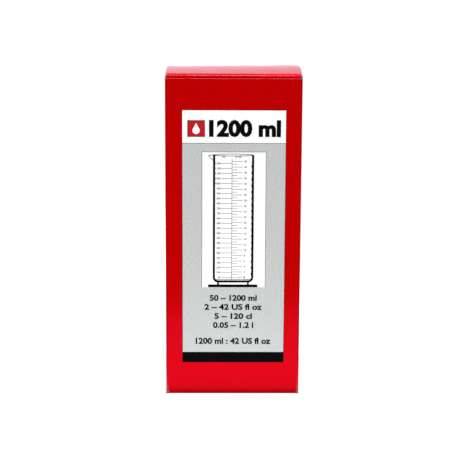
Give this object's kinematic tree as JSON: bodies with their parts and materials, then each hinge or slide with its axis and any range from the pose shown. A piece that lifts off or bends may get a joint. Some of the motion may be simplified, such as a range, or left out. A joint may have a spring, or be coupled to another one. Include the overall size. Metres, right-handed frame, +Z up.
{
  "type": "boxed graduated cylinder",
  "caption": "Clear plastic measuring graduate with a spout and round foot, packed in an upright printed folding carton whose top and bottom flaps open.",
  "frame": {"origin": "centre of the carton's footprint, on the surface it stands on", "axes": "+Z up along the carton's height, -Y towards its printed front panel, +X to the right of someone facing that panel"},
  "size_m": [0.127, 0.112, 0.305],
  "materials": {
    "printed_board": "glossy red ink over white folding boxboard",
    "clear_plastic": "clear moulded plastic with dark printed scale"
  },
  "bodies": {
    "carton": {"front_panel": "printed_board", "back_panel": "printed_board", "left_side_panel": "printed_board", "right_side_panel": "printed_board", "glue_flap": "printed_board"},
    "top_closure": {"top_closure_panel": "printed_board"},
    "top_tuck": {"top_tuck_flap": "printed_board"},
    "top_left_dust": {"top_left_dust_flap": "printed_board"},
    "top_right_dust": {"top_right_dust_flap": "printed_board"},
    "bottom_closure": {"bottom_closure_panel": "printed_board"},
    "bottom_tuck": {"bottom_tuck_flap": "printed_board"},
    "bottom_left_dust": {"bottom_left_dust_flap": "printed_board"},
    "bottom_right_dust": {"bottom_right_dust_flap": "printed_board"},
    "graduate": {"measuring_cylinder": "clear_plastic", "pedestal_foot": "clear_plastic"}
  },
  "joints": [
    {"name": "top_closure_hinge", "type": "hinge", "parent": "carton", "child": "top_closure", "pos_m": [0, 0.0557, 0.3047], "axis": [-1, 0, 0], "range_deg": [0, 180]},
    {"name": "top_tuck_hinge", "type": "hinge", "parent": "top_closure", "child": "top_tuck", "pos_m": [0, -0.05495, 0.3047], "axis": [-1, 0, 0], "range_deg": [0, 45]},
    {"name": "top_left_dust_hinge", "type": "hinge", "parent": "carton", "child": "top_left_dust", "pos_m": [-0.0632, 0, 0.30395], "axis": [0, -1, 0], "range_deg": [0, 135]},
    {"name": "top_right_dust_hinge", "type": "hinge", "parent": "carton", "child": "top_right_dust", "pos_m": [0.0632, 0, 0.30395], "axis": [0, 1, 0], "range_deg": [0, 135]},
    {"name": "graduate_lift", "type": "slide", "parent": "carton", "child": "graduate", "axis": [0, 0, 1], "range_m": [0, 0.07]},
    {"name": "bottom_closure_hinge", "type": "hinge", "parent": "carton", "child": "bottom_closure", "pos_m": [0, -0.0557, 0.0003], "axis": [-1, 0, 0], "range_deg": [0, 180]},
    {"name": "bottom_tuck_hinge", "type": "hinge", "parent": "bottom_closure", "child": "bottom_tuck", "pos_m": [0, 0.05495, 0.0003], "axis": [-1, 0, 0], "range_deg": [0, 99.5]},
    {"name": "bottom_left_dust_hinge", "type": "hinge", "parent": "carton", "child": "bottom_left_dust", "pos_m": [-0.0632, 0, 0.00105], "axis": [0, 1, 0], "range_deg": [0, 180]},
    {"name": "bottom_right_dust_hinge", "type": "hinge", "parent": "carton", "child": "bottom_right_dust", "pos_m": [0.0632, 0, 0.00105], "axis": [0, -1, 0], "range_deg": [0, 180]}
  ],
  "couplings": [
    {"joint": "top_closure_hinge", "follows": "graduate_lift", "rad_per_m": 44.88},
    {"joint": "top_tuck_hinge", "follows": "graduate_lift", "rad_per_m": 11.22},
    {"joint": "top_left_dust_hinge", "follows": "graduate_lift", "rad_per_m": 33.66},
    {"joint": "top_right_dust_hinge", "follows": "graduate_lift", "rad_per_m": 33.66},
    {"joint": "bottom_tuck_hinge", "follows": "bottom_closure_hinge", "ratio": 0.55278},
    {"joint": "bottom_left_dust_hinge", "follows": "bottom_closure_hinge", "ratio": 1},
    {"joint": "bottom_right_dust_hinge", "follows": "bottom_closure_hinge", "ratio": 1}
  ]
}
